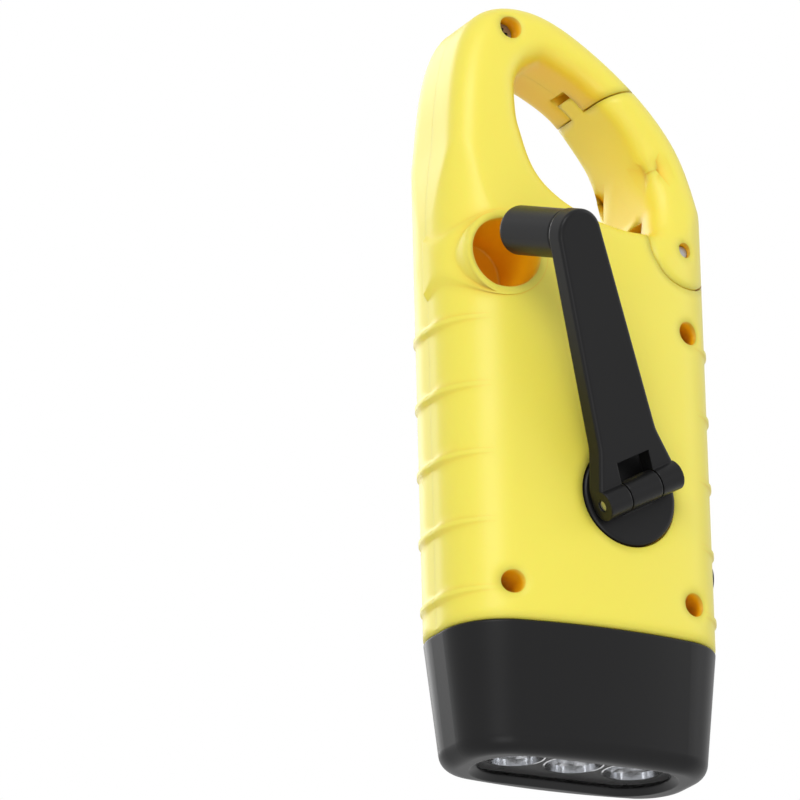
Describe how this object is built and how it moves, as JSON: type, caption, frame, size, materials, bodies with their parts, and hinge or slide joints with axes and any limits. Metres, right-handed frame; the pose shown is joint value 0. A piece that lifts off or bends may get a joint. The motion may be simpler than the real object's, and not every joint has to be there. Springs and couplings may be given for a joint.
{
  "type": "hand crank flashlight",
  "caption": "Pocket flashlight with a fold-out hand crank, a solar panel, a lamp head at one end and a carabiner loop with a sprung gate at the other.",
  "frame": {"origin": "centre of the lamp mouth, in the plane of the head's rim", "axes": "+Z from the lamp mouth towards the loop, -Y out of the solar panel, +Y out of the crank side, -X towards the gate and the switch button"},
  "size_m": [0.0526, 0.052, 0.1348],
  "materials": {
    "yellow_plastic": "satin, smooth",
    "black_plastic": "satin, smooth",
    "clear_plastic": "clear, polished",
    "chrome_reflector": "mirror",
    "led_body": "clear tinted",
    "circuit_board": "satin",
    "cell_face": "glossy brown with thin pale lines",
    "steel": "bare metal",
    "gear_plastic": "white nylon",
    "copper_wire": "enamelled copper wire",
    "iron": "dark iron",
    "battery_wrap": "shrink wrap"
  },
  "bodies": {
    "housing": {"front_housing": "yellow_plastic", "back_housing": "yellow_plastic", "head": "black_plastic", "lens": "clear_plastic", "reflector_holder": "black_plastic", "reflectors": "chrome_reflector", "leds": "led_body", "led_board": "circuit_board", "solar_bezel": "black_plastic", "solar_cell": "cell_face", "housing_screws": "steel", "axles": "steel", "gear_plate": "gear_plastic", "plate_screws": "steel", "yoke": "iron", "coil": "copper_wire", "switch_body": "black_plastic", "battery": "battery_wrap", "main_board": "circuit_board", "gate_pin": "steel", "gate_spring": "steel"},
    "crank": {"crank_hub": "black_plastic", "drive_gear": "gear_plastic", "shaft_clip": "steel", "hinge_pin": "steel"},
    "arm": {"crank_arm": "black_plastic", "knob_screw": "steel"},
    "grip": {"knob": "black_plastic"},
    "carabiner_gate": {"gate": "yellow_plastic"},
    "button": {"switch_button": "black_plastic"},
    "second_stage": {"gear_2": "gear_plastic"},
    "third_stage": {"gear_3": "gear_plastic"},
    "generator_rotor": {"rotor": "steel", "magnet": "iron"}
  },
  "joints": [
    {"name": "crank_spin", "type": "hinge", "parent": "housing", "child": "crank", "pos_m": [-0.0046, 0.013, 0.0459], "axis": [0, 1, 0], "continuous": true},
    {"name": "arm_fold", "type": "hinge", "parent": "crank", "child": "arm", "pos_m": [-0.0046, 0.01715, 0.0459], "axis": [-0.8846, 0, 0.4664], "range_deg": [-22.5, 157.5]},
    {"name": "knob_spin", "type": "hinge", "parent": "arm", "child": "grip", "pos_m": [0.01538, 0.03208, 0.0838], "axis": [-0.1785, 0.9239, -0.3385], "continuous": true},
    {"name": "gate_swing", "type": "hinge", "parent": "housing", "child": "carabiner_gate", "pos_m": [-0.0182, 0, 0.0925], "axis": [0, 1, 0], "range_deg": [0, 22], "stiffness_Nm_per_rad": 0.06, "springref_deg": -28.65},
    {"name": "button_press", "type": "slide", "parent": "housing", "child": "button", "axis": [1, 0, 0], "range_m": [0, 0.0007], "stiffness_N_per_m": 1000, "springref_m": -0.001},
    {"name": "second_stage_spin", "type": "hinge", "parent": "housing", "child": "second_stage", "pos_m": [-0.0046, 0.0073, 0.0327], "axis": [0, 1, 0], "continuous": true},
    {"name": "third_stage_spin", "type": "hinge", "parent": "housing", "child": "third_stage", "pos_m": [0.00663, 0.0049, 0.03468], "axis": [0, 1, 0], "continuous": true},
    {"name": "rotor_spin", "type": "hinge", "parent": "housing", "child": "generator_rotor", "pos_m": [0.01067, 0.001, 0.04469], "axis": [0, 1, 0], "continuous": true}
  ],
  "couplings": [
    {"joint": "second_stage_spin", "follows": "crank_spin", "ratio": -3.4},
    {"joint": "third_stage_spin", "follows": "crank_spin", "ratio": 9.52},
    {"joint": "rotor_spin", "follows": "crank_spin", "ratio": -24.752}
  ]
}
